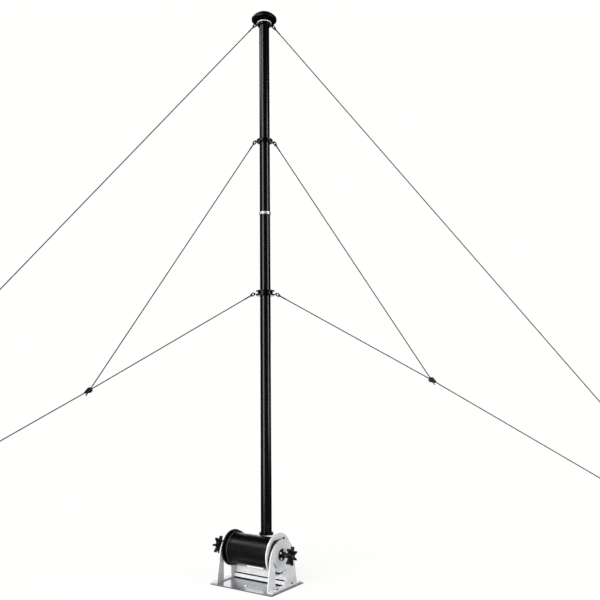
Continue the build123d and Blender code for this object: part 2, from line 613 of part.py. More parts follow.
def guy_lines(side):
    """Every link and rope on one side of the mast, by name."""
    _, sideways = guy_plane(side)
    clamp_at = spot(side, *CLAMP_AT[side])
    clamp = clamp_body(side)
    top = rim_point(side, TOP_EYE_RADIUS, SLEEVE_Z + EYE_THICK / 2)
    upper = rim_point(side, UPPER_EYE_RADIUS, UPPER_COLLAR_Z + EYE_THICK / 2)
    lower = rim_point(side, LOWER_EYE_RADIUS, LOWER_EYE_Z)
    high = anchor_rim(side, ANCHOR_HIGH_EYE, top)
    low = anchor_rim(side, ANCHOR_LOW_EYE, clamp_at)
    pieces = {}

    top_link, top_thimble, top_start = linked_end(top, high, sideways)
    upright = (top - high).normalized().cross(sideways)
    high_link, high_thimble, high_start = linked_end(high, top, upright)
    pieces["top_link"] = top_link
    pieces["anchor_link_high"] = high_link
    pieces["top_guy"] = rope(top_start, high_start) + top_thimble + high_thimble

    upper_link, upper_thimble, upper_start = linked_end(upper, clamp_at, sideways)
    pieces["upper_link"] = upper_link
    pieces["upper_guy"] = rope(upper_start, clamp_at) + upper_thimble - clamp

    lower_link, lower_thimble, lower_start = linked_end(lower, clamp_at, sideways)
    pieces["lower_link"] = lower_link
    pieces["lower_guy"] = rope(lower_start, clamp_at) + lower_thimble - clamp

    upright = (clamp_at - low).normalized().cross(sideways)
    low_link, low_thimble, low_start = linked_end(low, clamp_at, upright)
    pieces["anchor_link_low"] = low_link
    pieces["ground_guy"] = rope(clamp_at, low_start) + low_thimble - clamp
    pieces["rope_clamp"] = clamp
    pieces["ground_anchor"] = ground_anchor(side)
    return pieces


save(base_plate(), "base_plate")
for side, word in ((-1, "left"), (1, "right")):
    save(side_plate(side), f"side_plate_{word}")
    save(hub(side), f"hub_{word}")
    save(star_knob(side), f"star_knob_{word}")
    for name, piece in guy_lines(side).items():
        save(piece, f"{name}_{word}")
save(tie_bar_upper(), "tie_bar_upper")
save(tie_bar_lower(), "tie_bar_lower")
save(axle(), "axle")
save(reel_drum(), "reel_drum")
save(flange_left(), "flange_left")
save(flange_right(), "flange_right")
save(brake_housing(), "brake_housing")
save(mast_strip(), "mast_strip")
save(mast_tube(), "mast_tube")
save(guide_yoke(), "guide_yoke")
save(guide_post(), "guide_post")
save(foot_ring(), "foot_ring")
save(joint_band(), "joint_band")
save(lower_collar(), "lower_collar")
save(upper_collar(), "upper_collar")
save(cap_sleeve(), "cap_sleeve")
save(mast_cap(), "mast_cap")
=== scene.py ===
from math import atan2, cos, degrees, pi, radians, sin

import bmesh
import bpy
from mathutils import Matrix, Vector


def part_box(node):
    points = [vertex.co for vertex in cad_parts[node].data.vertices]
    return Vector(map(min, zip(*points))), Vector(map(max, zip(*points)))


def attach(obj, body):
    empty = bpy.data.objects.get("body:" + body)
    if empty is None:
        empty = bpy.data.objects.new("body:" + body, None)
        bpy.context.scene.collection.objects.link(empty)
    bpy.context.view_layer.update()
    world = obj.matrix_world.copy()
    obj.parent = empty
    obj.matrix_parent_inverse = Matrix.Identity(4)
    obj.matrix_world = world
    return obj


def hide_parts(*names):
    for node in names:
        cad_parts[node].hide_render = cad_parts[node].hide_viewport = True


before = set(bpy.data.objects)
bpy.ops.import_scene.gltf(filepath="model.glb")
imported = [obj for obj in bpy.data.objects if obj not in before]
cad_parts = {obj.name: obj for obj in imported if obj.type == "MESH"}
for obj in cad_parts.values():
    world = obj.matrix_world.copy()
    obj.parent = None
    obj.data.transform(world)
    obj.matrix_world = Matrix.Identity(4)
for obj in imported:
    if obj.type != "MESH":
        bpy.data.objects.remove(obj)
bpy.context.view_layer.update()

# %% [markdown]
# # A roll-up radio mast on its reel stand
# The measured model comes in first and stays where it is. Every piece that this lesson adds takes
# its place from that model's boxes, so nothing is fitted by eye.

MM = 0.001

# %% [markdown]
# A reel stand is a flat base, two arch-shaped plates and an axle between them. These few places come
# up again and again: the axle's height, the mast's middle, and the faces of the two side plates.

# %% Places that many pieces share
axle_low, axle_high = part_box("axle")
AXLE = (axle_low + axle_high) / 2
AXLE.x = 0.0
tube_low, tube_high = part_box("mast_tube")
PLATE_FACE = {-1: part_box("hub_left")[1].x, 1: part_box("hub_right")[0].x}
WORD = {-1: "left", 1: "right"}
ring_low, ring_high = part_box("foot_ring")
MAST = Vector(((ring_low.x + ring_high.x) / 2, (ring_low.y + ring_high.y) / 2, 0.0))
TUBE_RADIUS = MAST.y - tube_low.y


def by_axle(x):
    """A point on the axle's line."""
    return Vector((x, AXLE.y, AXLE.z))


def by_mast(z):
    """A point on the mast's line."""
    return Vector((MAST.x, MAST.y, z))


print("axle height", round(AXLE.z / MM), "mast at y", round(MAST.y / MM),
      "tube radius", round(TUBE_RADIUS / MM, 1))

# %% [markdown]
# The camera stands in front and to the right of the reel, at the height of a raised tripod, and looks
# up a little so that the whole mast fits in the frame. It is made before anything else, so each new
# piece can be judged from it.

# %% Camera
CAMERA_PLACE = (3.1094, -3.9711, 1.3934)
CAMERA_HEADING = 34.296  # degrees to the left of +Y
CAMERA_PITCH = 6.984
CAMERA_ROLL = -0.6
camera = bpy.data.objects.new("camera", bpy.data.cameras.new("camera"))
camera.data.sensor_width = 36.0
camera.data.lens = 41.085
camera.data.clip_end = 100.0
camera.matrix_world = (Matrix.Translation(CAMERA_PLACE)
                       @ Matrix.Rotation(radians(CAMERA_HEADING), 4, "Z")
                       @ Matrix.Rotation(radians(90.0 + CAMERA_PITCH), 4, "X")
                       @ Matrix.Rotation(radians(CAMERA_ROLL), 4, "Z"))
bpy.context.scene.collection.objects.link(camera)
bpy.context.scene.camera = camera
print("camera at", CAMERA_PLACE)

# %% [markdown]
# ## How a finish is written
# A finish is a small graph of nodes that ends in the Principled shader. Colours are easier to think
# of as the hex values of a paint card, but the shader wants linear light, so one function turns them.
# A second function adds any node with its settings and links. Small ones set a ramp's tones, spread a
# pattern over a range of values and feed the shader, which keeps each finish to a few lines.

# %% Colour and node helpers
def linear(hex_colour):
    """An sRGB hex colour as linear RGBA."""
    channels = [int(hex_colour[i:i + 2], 16) / 255 for i in (1, 3, 5)]
    return [c / 12.92 if c <= 0.04045 else ((c + 0.055) / 1.055) ** 2.4 for c in channels] + [1.0]


def add_node(tree, kind, settings=None, links=None):
    """Adds a node, sets its properties or inputs by name or number, and links outputs to its inputs."""
    node = tree.nodes.new(kind)
    for key, value in (settings or {}).items():
        if isinstance(key, str) and hasattr(node, key):
            setattr(node, key, value)
        else:
            node.inputs[key].default_value = value
    for key, output in (links or {}).items():
        tree.links.new(output, node.inputs[key])
    return node


def new_finish(name, **shader_inputs):
    """A new material with its Principled shader's own sockets set: returns the tree and the shader."""
    material = bpy.data.materials.new(name)
    material.use_nodes = True
    tree = material.node_tree
    shader = tree.nodes["Principled BSDF"]
    for key, value in shader_inputs.items():
        shader.inputs[key.replace("_", " ")].default_value = value
    return material, tree, shader


def set_tones(ramp, *stops):
    """Sets a colour ramp's two stops, each a position and a hex colour."""
    for element, (position, colour) in zip(ramp.color_ramp.elements, stops):
        element.position, element.color = position, linear(colour)


def spread(low, high, start=0.3, end=0.7):
    """Settings that map a pattern's values from start to end to the values from low to high."""
    return {"From Min": start, "From Max": end, "To Min": low, "To Max": high}


def feed_shader(tree, shader, **nodes):
    """Links the first output of each node to the shader's socket of that name."""
    for socket, node in nodes.items():
        tree.links.new(node.outputs[0], shader.inputs[socket.replace("_", " ")])


print("black anodising in linear light:", [round(c, 4) for c in linear("#0b0b0c")[:3]])

# %% [markdown]
# ** Anodised aluminium sheet.** The base, the side plates and the bars are rolled sheet, etched and
# clear anodised. Rolling leaves faint lines a millimetre or so apart along the sheet. A light etch, as
# on the base, keeps a soft mirror; a long etch, as on the uprights and bars, scatters nearly all the
# light, so those take less of the metal share. Their tones are lit copies of the one sheet, painted
# paler on the uprights and palest on the bars as painted light. The noise is stretched along the
# rolling direction to make the lines, and a slow noise gives the tone of handled metal.

# %% Finish: anodised aluminium sheet
LINE_GAP = 1.3  # mm between rolling lines, drawn coarser than real ones so that they show
LINE_LENGTH = 90.0
CLOUD_SIZE = 70.0  # mm across a patch of lighter or darker tone


def sheet_finish(name, grain_along, tone, metal_share, gloss_loss):
    material, tree, shader = new_finish(name, Metallic=metal_share, Roughness=gloss_loss)
    place = add_node(tree, "ShaderNodeTexCoord")
    grain_scale = [1 / (LINE_GAP * MM)] * 3
    grain_scale[grain_along] = 1 / (LINE_LENGTH * MM)
    lines_at = add_node(tree, "ShaderNodeMapping", {"Scale": grain_scale}, {0: place.outputs["Object"]})
    lines = add_node(tree, "ShaderNodeTexNoise", {"Scale": 1.0, "Detail": 3.0}, {0: lines_at.outputs[0]})
    cloud = add_node(tree, "ShaderNodeTexNoise", {"Scale": 1 / (CLOUD_SIZE * MM), "Detail": 4.0},
                     {0: place.outputs["Object"]})
    shade = add_node(tree, "ShaderNodeValToRGB", {}, {0: cloud.outputs[0]})
    set_tones(shade, (0.35, tone[0]), (0.65, tone[1]))
    rough = add_node(tree, "ShaderNodeMapRange", spread(gloss_loss - 0.04, gloss_loss + 0.05),
                     {0: lines.outputs[0]})
    bump = add_node(tree, "ShaderNodeBump", {"Strength": 0.1, "Distance": 0.02 * MM},
                    {"Height": lines.outputs[0]})
    feed_shader(tree, shader, Base_Color=shade, Roughness=rough, Normal=bump)
    return material


plate_finish = sheet_finish("lightly_etched_aluminium", 0, ("#a4a6a9", "#b2b4b7"), 0.85, 0.2)
# The uprights' and bars' paler tones are painted light: lit copies of the same sheet as the base.
upright_sheet_painted_paler = sheet_finish("upright_aluminium_painted_paler", 2, ("#d6d8da", "#e2e3e5"), 0.2, 0.32)
bar_sheet_painted_palest = sheet_finish("bar_aluminium_painted_palest", 0, ("#e8e9ea", "#f2f2f3"), 0.15, 0.32)
print("made", plate_finish.name, upright_sheet_painted_paler.name, bar_sheet_painted_palest.name)

# %% [markdown]
# **Turned aluminium.** The right flange was faced on a lathe, so its marks are circles round the axle.
# The distance from the axle's line, from the two coordinates across it, drives a noise that only
# changes with radius: that gives rings, and the light stretches across them.

# %% Finish: turned aluminium disc
TOOL_FEED = 1.1  # mm between rings. A lathe cuts finer ones, so these are drawn coarser to show
turned_finish, tree, shader = new_finish("turned_aluminium", Metallic=0.25, Roughness=0.24,
                                         Anisotropic=0.4)
place = add_node(tree, "ShaderNodeTexCoord")
centred = add_node(tree, "ShaderNodeMapping", {"Location": (0, -AXLE.y, -AXLE.z)},
                   {0: place.outputs["Object"]})
across = add_node(tree, "ShaderNodeVectorMath", {"operation": "MULTIPLY", 1: (0, 1, 1)},
                  {0: centred.outputs[0]})
radius = add_node(tree, "ShaderNodeVectorMath", {"operation": "LENGTH"}, {0: across.outputs[0]})
feed = add_node(tree, "ShaderNodeMath", {"operation": "DIVIDE", 1: TOOL_FEED * MM},
                {0: radius.outputs["Value"]})
rings = add_node(tree, "ShaderNodeTexNoise", {"noise_dimensions": "1D", "Scale": 1.0, "Detail": 2.0},
                 {"W": feed.outputs[0]})
tone = add_node(tree, "ShaderNodeValToRGB", {}, {0: rings.outputs[0]})
set_tones(tone, (0.3, "#dfe1e3"), (0.7, "#f0f1f1"))
rough = add_node(tree, "ShaderNodeMapRange", spread(0.18, 0.28), {0: rings.outputs[0]})
bump = add_node(tree, "ShaderNodeBump", {"Strength": 0.15, "Distance": 0.05 * MM},
                {"Height": rings.outputs[0]})
feed_shader(tree, shader, Base_Color=tone, Roughness=rough, Normal=bump)
print("made", turned_finish.name)

# %% [markdown]
# ** Black coats and mouldings.** Many pieces are nearly black, and what tells them apart is gloss and
# grain. Powder coat, baked on the drum and left flange, has the soft swell of orange peel. Knobs and
# clamps are nylon from an etched mould, which leaves a fine sparkle, and the collars come from a polished
# one, so they shine more. The cap is a larger, softer moulding, and the housing is matt. The strips
# that paint the shadow between the bars are a near-black that scatters nearly all the light. Steel is
# blackened in a hot bath and stays a little metallic. The knob bushes are a greyer metal, and the same
# grey on the left flange's lip is a painted highlight. All share one recipe, each with its own colour,
# gloss, grain size and grain depth.

# %% Finish: black coats and mouldings
DUST_SIZE = 45.0  # mm across a patch of handled, dustier surface


def black_finish(name, dark, light, roughness, grain_mm, depth_mm, **extra):
    """A black coat or moulding. A mould's grain, in mm, is drawn coarser than real so that it shows."""
    material, tree, shader = new_finish(name, IOR=1.5, **extra)
    place = add_node(tree, "ShaderNodeTexCoord")
    grain = add_node(tree, "ShaderNodeTexNoise", {"Scale": 1 / (grain_mm * MM), "Detail": 3.0},
                     {0: place.outputs["Object"]})
    dust = add_node(tree, "ShaderNodeTexNoise", {"Scale": 1 / (DUST_SIZE * MM), "Detail": 5.0},
                    {0: place.outputs["Object"]})
    tone = add_node(tree, "ShaderNodeValToRGB", {}, {0: dust.outputs[0]})
    set_tones(tone, (0.4, dark), (0.75, light))
    rough = add_node(tree, "ShaderNodeMapRange", spread(roughness - 0.05, roughness + 0.06),
                     {0: dust.outputs[0]})
    bump = add_node(tree, "ShaderNodeBump", {"Strength": 0.35, "Distance": depth_mm * MM},
                    {"Height": grain.outputs[0]})
    feed_shader(tree, shader, Base_Color=tone, Roughness=rough, Normal=bump)
    return material


powder_coat = black_finish("satin_powder_coat", "#020203", "#050506", 0.34, 2.4, 0.02,
                           Specular_IOR_Level=0.35)
nylon = black_finish("moulded_nylon", "#020203", "#060607", 0.4, 1.8, 0.02, Specular_IOR_Level=0.35)
collar_nylon = black_finish("polished_collar_nylon", "#010102", "#030304", 0.27, 1.8, 0.01,
                            Specular_IOR_Level=0.3)
housing = black_finish("matt_housing_plastic", "#030303", "#060607", 0.6, 1.8, 0.02)
cap_shell = black_finish("moulded_cap_plastic", "#020203", "#060607", 0.38, 2.4, 0.02,
                         Specular_IOR_Level=0.3)
black_steel = black_finish("blackened_steel", "#161618", "#242427", 0.36, 2.0, 0.02, Metallic=0.25)
# Grey steel for the knob bushes; on the left flange's lip the same grey is a painted highlight.
bush_grey_and_lip_highlight = black_finish("grey_bush_and_painted_lip_highlight", "#4a4b4d", "#5a5c5e", 0.34, 2.4, 0.02, Metallic=0.5)
# Near-black for the strips that paint the shadow in the bars' slot and at the lower bar's foot.
shadow_black = black_finish("painted_shadow_black", "#040405", "#08080a", 0.7, 1.8, 0.03, Specular_IOR_Level=0.2)
print("made", [m.name for m in (powder_coat, nylon, collar_nylon, housing, cap_shell, black_steel,
                                bush_grey_and_lip_highlight, shadow_black)])

# %% [markdown]
# **Black composite.** The mast is fibre and resin, pressed smooth while flat and coiled on the drum.
# Under a glossy skin the fibres run along the tube, so gloss and height vary in long thin lines, and paler
# threads cross them. The threads lie under the skin, so they change the tone only.
# The skin's gloss is what shows the two soft bright stripes that make a black tube look round.

# %% Finish: black composite
composite, tree, shader = new_finish("pressed_black_composite", IOR=1.5)
place = add_node(tree, "ShaderNodeTexCoord")
FIBRE_GAP = 1.6  # mm between fibre bundles, drawn coarser than real ones so that they show
FIBRE_LENGTH = 260.0
WAVE_RATE = 20  # radians that a wave texture turns through in one unit
THREAD_RADIAN = 3.5  # mm for one radian, so a thread every 22 mm, coarser than real ones so that they show
along = add_node(tree, "ShaderNodeMapping",
                 {"Scale": (1 / (FIBRE_GAP * MM), 1 / (FIBRE_GAP * MM), 1 / (FIBRE_LENGTH * MM))},
                 {0: place.outputs["Object"]})
fibres = add_node(tree, "ShaderNodeTexNoise", {"Scale": 1.0, "Detail": 2.0}, {0: along.outputs[0]})
threads = add_node(tree, "ShaderNodeTexWave",
                   {"wave_type": "BANDS", "bands_direction": "Z", "Distortion": 0.4,
                    "Scale": 1 / (WAVE_RATE * THREAD_RADIAN * MM)}, {0: place.outputs["Object"]})
bump = add_node(tree, "ShaderNodeBump", {"Strength": 0.04, "Distance": 0.004 * MM},
                {"Height": fibres.outputs[0]})
weave = add_node(tree, "ShaderNodeMath", {"operation": "MULTIPLY_ADD", 1: 0.1},
                 {0: threads.outputs["Fac"], 2: fibres.outputs[0]})
tone = add_node(tree, "ShaderNodeValToRGB", {}, {0: weave.outputs[0]})
set_tones(tone, (0.3, "#020203"), (0.8, "#060607"))
rough = add_node(tree, "ShaderNodeMapRange", spread(0.2, 0.26, 0.25, 0.75), {0: fibres.outputs[0]})
feed_shader(tree, shader, Base_Color=tone, Roughness=rough, Normal=bump)
print("made", composite.name)

# %% [markdown]
# **Bright steel.** The axle, the band, the ring round the cap's sleeve and the screws are zinc-plated or
# stainless. They are small, so a light scatter of scratches in the roughness is enough. A milky plating
# scatters part of the light, which the metal share sets.

# %% Finish: bright steel
SCRATCH_SIZE = 1.5  # mm, drawn coarser than real scratches so that they show


def steel_finish(name, tone, roughness, metal_share=1.0):
    material, tree, shader = new_finish(name, Metallic=metal_share)
    shader.inputs["Base Color"].default_value = linear(tone)
    place = add_node(tree, "ShaderNodeTexCoord")
    wear = add_node(tree, "ShaderNodeTexNoise", {"Scale": 1 / (SCRATCH_SIZE * MM), "Detail": 4.0},
                    {0: place.outputs["Object"]})
    rough = add_node(tree, "ShaderNodeMapRange", spread(roughness - 0.06, roughness + 0.08),
                     {0: wear.outputs[0]})
    bump = add_node(tree, "ShaderNodeBump", {"Strength": 0.1, "Distance": 0.02 * MM},
                    {"Height": wear.outputs[0]})
    feed_shader(tree, shader, Roughness=rough, Normal=bump)
    return material


axle_steel = steel_finish("turned_steel", "#b9bbbe", 0.3)
band_steel = steel_finish("stainless_band", "#c4c6c8", 0.2, 0.6)
zinc = steel_finish("zinc_plated_steel", "#f0f0ee", 0.28, 0.3)
print("made", axle_steel.name, band_steel.name, zinc.name)

# %% [markdown]
# **Braided rope.** A guy rope is a round braid: strands run round it both ways and pass over and under
# each other, which leaves small diamonds. The pattern follows the rope, so it reads the rope's own
# UV map, where U goes once round and V counts millimetres along it. Two slanting sine waves, one
# each way, multiply into the diamonds.

# %% Finish: braided rope
rope_finish, tree, shader = new_finish("braided_polyester", Roughness=0.75, IOR=1.45, Sheen_Weight=0.05)
uv = add_node(tree, "ShaderNodeUVMap", {"uv_map": "braid"})
split = add_node(tree, "ShaderNodeSeparateXYZ", {}, {0: uv.outputs[0]})
STRANDS = 8
BRAID_PITCH = 7.0  # mm along the rope for two diamonds
round_it = add_node(tree, "ShaderNodeMath", {"operation": "MULTIPLY", 1: STRANDS * pi},
                    {0: split.outputs["X"]})
along_it = add_node(tree, "ShaderNodeMath", {"operation": "MULTIPLY", 1: 2 * pi / BRAID_PITCH},
                    {0: split.outputs["Y"]})
waves = []
for operation in ("ADD", "SUBTRACT"):
    slant = add_node(tree, "ShaderNodeMath", {"operation": operation},
                     {0: round_it.outputs[0], 1: along_it.outputs[0]})
    wave = add_node(tree, "ShaderNodeMath", {"operation": "SINE"}, {0: slant.outputs[0]})
    waves.append(add_node(tree, "ShaderNodeMath", {"operation": "ABSOLUTE"}, {0: wave.outputs[0]}))
diamonds = add_node(tree, "ShaderNodeMath", {"operation": "MULTIPLY"},
                    {0: waves[0].outputs[0], 1: waves[1].outputs[0]})
tone = add_node(tree, "ShaderNodeValToRGB", {}, {0: diamonds.outputs[0]})
set_tones(tone, (0.0, "#0b0c0d"), (1.0, "#2a2b2d"))
bump = add_node(tree, "ShaderNodeBump", {"Strength": 0.6, "Distance": 0.5 * MM},
                {"Height": diamonds.outputs[0]})
feed_shader(tree, shader, Base_Color=tone, Normal=bump)
print("made", rope_finish.name)

# %% [markdown]
# ## Dress the measured pieces
# Most of the measured pieces already have the right shape, so they only take a finish. Each name
# group below gets the finish of its real material.

# %% Give every measured piece its finish
FINISH_OF = {
    "base_plate": plate_finish, "side_plate": upright_sheet_painted_paler, "guide_post": upright_sheet_painted_paler,
    "tie_bar": bar_sheet_painted_palest, "guide_yoke": bar_sheet_painted_palest, "flange_right": turned_finish,
    "flange_left": powder_coat, "reel_drum": powder_coat, "brake_housing": housing,
    "axle": axle_steel, "hub": nylon, "star_knob": nylon, "foot_ring": nylon, "rope_clamp": nylon,
    "mast_tube": composite, "mast_strip": composite, "joint_band": band_steel,
    "lower_collar": collar_nylon, "upper_collar": collar_nylon, "cap_sleeve": collar_nylon,
    "mast_cap": cap_shell, "ground_anchor": black_steel, "anchor_link": black_steel,
    "top_link": black_steel, "upper_link": black_steel, "lower_link": black_steel,
    "top_guy": rope_finish, "upper_guy": rope_finish, "lower_guy": rope_finish,
    "ground_guy": rope_finish,
}
for node_name, node_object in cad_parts.items():
    group = next(g for g in sorted(FINISH_OF, key=len, reverse=True) if node_name.startswith(g))
    node_object.data.materials.clear()
    node_object.data.materials.append(FINISH_OF[group])
print("dressed", len(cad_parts), "measured pieces")

# %% [markdown]
# ## Three ways to make a new piece
# Round pieces are turned: an outline of radius and height is spun round an axis, as on a lathe. Flat
# pieces start as a ring of corners that is filled and extruded, and blocks as a cube that is stretched.
# Sharp edges are bevelled where they would show, because a real edge always catches a line of light.
# Then the piece is set down along an axis, and one last function makes it an object that rides on its
# body.

# %% Modelling helpers
def turned(outline, steps=64):
    """A shape turned about +Z from a closed outline of (radius, height) points, in mm."""
    bm = bmesh.new()
    corners = [bm.verts.new((r * MM, 0.0, h * MM)) for r, h in outline]
    edges = [bm.edges.new(pair) for pair in zip(corners, corners[1:] + corners[:1])]
    bmesh.ops.spin(bm, geom=corners + edges, cent=(0, 0, 0), axis=(0, 0, 1), angle=2 * pi, steps=steps,
                   use_merge=True)
    bmesh.ops.remove_doubles(bm, verts=bm.verts, dist=0.001 * MM)
    on_axis = [f for f in bm.faces if f.calc_area() < 1e-12]
    bmesh.ops.delete(bm, geom=on_axis, context="FACES_ONLY")
    loose = [e for e in bm.edges if not e.link_faces]
    bmesh.ops.delete(bm, geom=loose, context="EDGES")
    bmesh.ops.recalc_face_normals(bm, faces=bm.faces)
    return bm


def soften(bm, width, segments=2, sharper_than=35.0):
    """Bevels every edge that is sharper than this many degrees, by a width in mm."""
    sharp = [e for e in bm.edges if e.is_manifold and e.calc_face_angle(0.0) > radians(sharper_than)]
    bmesh.ops.bevel(bm, geom=sharp, offset=width * MM, offset_type="OFFSET", segments=segments,
                    profile=0.5, affect="EDGES", clamp_overlap=True, material=-1)
    return bm


def set_down(bm, place, axis=(0, 0, 1), turn=0.0):
    """Turns a shape about +Z, points its +Z along an axis and moves it to its place, in metres."""
    aim = Vector(axis).to_track_quat("Z", "Y").to_matrix().to_4x4()
    move = Matrix.Translation(place) @ aim @ Matrix.Rotation(turn, 4, "Z")
    bmesh.ops.transform(bm, matrix=move, verts=bm.verts)
    return bm


def block(length, depth, height, rounding, segments):
    """A block of these sizes in mm about its middle, with every edge rounded."""
    bm = bmesh.new()
    bmesh.ops.create_cube(bm, size=1.0)
    bmesh.ops.scale(bm, vec=(length * MM, depth * MM, height * MM), verts=bm.verts)
    return soften(bm, rounding, segments, 60.0)


def corners_in(geometry):
    """The points among what an operator made."""
    return [g for g in geometry if isinstance(g, bmesh.types.BMVert)]


def joined(*shapes):
    """One shape from several. The others are freed."""
    whole = shapes[0]
    for shape in shapes[1:]:
        carrier = bpy.data.meshes.new("carrier")
        shape.to_mesh(carrier)
        shape.free()
        whole.from_mesh(carrier)
        bpy.data.meshes.remove(carrier)
    return whole


def fit_piece(bm, name, body, material, stands_for=()):
    """Makes the shape an object with a finish, and tells the frame which body it rides on."""
    mesh = bpy.data.meshes.new(name)
    bm.to_mesh(mesh)
    bm.free()
    mesh.shade_smooth()
    mesh.set_sharp_from_angle(angle=radians(38.0))
    mesh.materials.append(material)
    piece = bpy.data.objects.new(name, mesh)
    bpy.context.scene.collection.objects.link(piece)
    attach(piece, body)
    if stands_for:
        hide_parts(*stands_for)
    print(f"{name}: {len(mesh.vertices)} points, {len(mesh.polygons)} faces, rides on {body}")
    return piece


def centre_of(node):
    """The middle of a measured piece's box."""
    low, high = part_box(node)
    return (low + high) / 2


print("modelling helpers ready")

# %% [markdown]
# ## The mast tube
# The tube is one strip of composite whose two long edges lap over each other at the back. A circle of
# points makes its section. The points of the lap stand nearly a strip's thickness further out, and the
# whole section is extruded up, a span at a time, then given its wall with solidify.

# %% Mast tube
TUBE_POINTS = 120
TUBE_WALL = 3.0
LAP_RISE = 2.5
LAP_HALF = 14.0  # degrees to each side of the back


def mast_section(bm, z):
    """The tube's open ring of points at a height, with the lap of its edges at the back."""
    ring = bmesh.ops.create_circle(bm, cap_ends=False, segments=TUBE_POINTS,
                                   radius=TUBE_RADIUS)["verts"]
    for point in ring:
        from_back = abs(degrees(atan2(point.co.x, point.co.y)))
        if from_back < LAP_HALF:
            point.co *= 1 + LAP_RISE * MM / TUBE_RADIUS
        point.co += by_mast(z)


bm = bmesh.new()
mast_section(bm, tube_low.z)
edges = list(bm.edges)
SPANS = 8
for _ in range(SPANS):
    made = bmesh.ops.extrude_edge_only(bm, edges=edges)["geom"]
    rise = Vector((0, 0, (tube_high.z - tube_low.z) / SPANS))
    bmesh.ops.translate(bm, vec=rise, verts=corners_in(made))
    edges = [g for g in made if isinstance(g, bmesh.types.BMEdge) and all(v in made for v in g.verts)]
bmesh.ops.recalc_face_normals(bm, faces=bm.faces)
outward = bm.faces[:][0].normal.dot(bm.faces[:][0].calc_center_median() - MAST)
if outward < 0:
    bmesh.ops.reverse_faces(bm, faces=bm.faces)
bmesh.ops.solidify(bm, geom=bm.faces[:], thickness=TUBE_WALL * MM)
fit_piece(bm, "mast_tube_skin", "stand", composite, ["mast_tube"])

# %% [markdown]
# ## Screws
# Every bolted joint on the stand shows a small head, bright zinc on the hubs and black on the feet.
# One turned outline makes them all: a low round head with a socket sunk in its top. Sharing one shape
# keeps them alike, as bought screws are.

# %% Screw heads
def screw_head(radius):
    """A round head with a socket, its underside on the plane it stands on."""
    outline = [(0, -1), (radius, -1), (radius, 0.5 * radius), (0.8 * radius, 0.75 * radius),
               (0.45 * radius, 0.75 * radius), (0.45 * radius, 0.25 * radius), (0, 0.25 * radius)]
    return turned(outline, 20)


def screws(name, body, material, radius, places, axis=(0, 0, 1)):
    """One object with a screw head at each place, all of them pointing along the same axis."""
    heads = [set_down(screw_head(radius), place, axis) for place in places]
    fit_piece(joined(*heads), name, body, material)


HUB_FACE = 7.0  # mm from the plate to the hub flange's face
HUB_CIRCLE = 28.0  # mm, the radius of the circle that the hub's screws stand on
HUB_TURNS = (55, 145, 235, 325)  # degrees round it
HUB_SCREW = FOOT_SCREW = 7.0  # mm, the radius of a head
EARTH_SCREW = 9.0
POST_SCREW = 5.0
FOOT_THICK = 8.0
FOOT_SCREW_Y = (-82, 92)
EARTH_SCREW_X, EARTH_SCREW_Y = -6, -107
POST_FOOT = 6.0  # mm thick
POST_SCREW_X = 36  # mm to each side of the post
for side, word in WORD.items():
    plate_low, plate_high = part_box(f"side_plate_{word}")
    foot_x = (PLATE_FACE[side] + (plate_high.x if side > 0 else plate_low.x)) / 2
    foot_z = plate_low.z + FOOT_THICK * MM
    feet = [Vector((foot_x, y * MM, foot_z)) for y in FOOT_SCREW_Y]
    screws(f"foot_screws_{word}", "stand", black_steel, FOOT_SCREW, feet)
    around = [Vector((PLATE_FACE[side] + side * HUB_FACE * MM, AXLE.y + HUB_CIRCLE * MM * cos(radians(a)),
                      AXLE.z + HUB_CIRCLE * MM * sin(radians(a)))) for a in HUB_TURNS]
    screws(f"hub_screws_{word}", "stand", zinc, HUB_SCREW, around, (side, 0, 0))
base_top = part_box("base_plate")[1].z
earth_at = Vector((EARTH_SCREW_X * MM, EARTH_SCREW_Y * MM, base_top))
screws("earth_screw", "stand", zinc, EARTH_SCREW, [earth_at])
post_low, post_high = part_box("guide_post")
post_y = (post_low.y + post_high.y) / 2
post_feet = [Vector((x * MM, post_y, base_top + POST_FOOT * MM)) for x in (-POST_SCREW_X, POST_SCREW_X)]
screws("post_screws", "stand", black_steel, POST_SCREW, post_feet)

# %% [markdown]
# ## Star knobs
# A star knob is moulded nylon round a steel bush. Seven round-ended arms give the hand its grip. The
# outline is a circle of many points, each moved in or out to the arm or the core at its angle, and
# the radii of near points are averaged so that an arm flows into the core, as it must in a mould.

# %% Star knobs
KNOB_ARMS = 7
KNOB_RADIUS = 64.0
KNOB_CORE = 30.0
KNOB_ARM = 15.0  # width in mm
KNOB_FIRST_ARM = 18.0  # degrees from +Y
POINTS_AN_ARM = 32
KNOB_ROUNDING = 4.0
BOSS_OUTLINE = [(13, -4), (20, -4), (22, -2), (22, 4), (13, 4)]
BUSH_OUTLINE = [(0, -3), (11, -3), (11, 1), (9.5, 2), (5, 2), (4, 0.5), (0, 0.5)]


def star_radius(angle):
    """The outline's radius in mm: the round tip or straight side of the nearest arm, or the core."""
    spacing = 2 * pi / KNOB_ARMS
    off = (angle - radians(KNOB_FIRST_ARM) + spacing / 2) % spacing - spacing / 2
    half, reach = KNOB_ARM / 2, KNOB_RADIUS - KNOB_ARM / 2
    if abs(sin(off)) < half / reach:
        return reach * cos(off) + (half ** 2 - (reach * sin(off)) ** 2) ** 0.5
    return max(KNOB_CORE, half / abs(sin(off)))


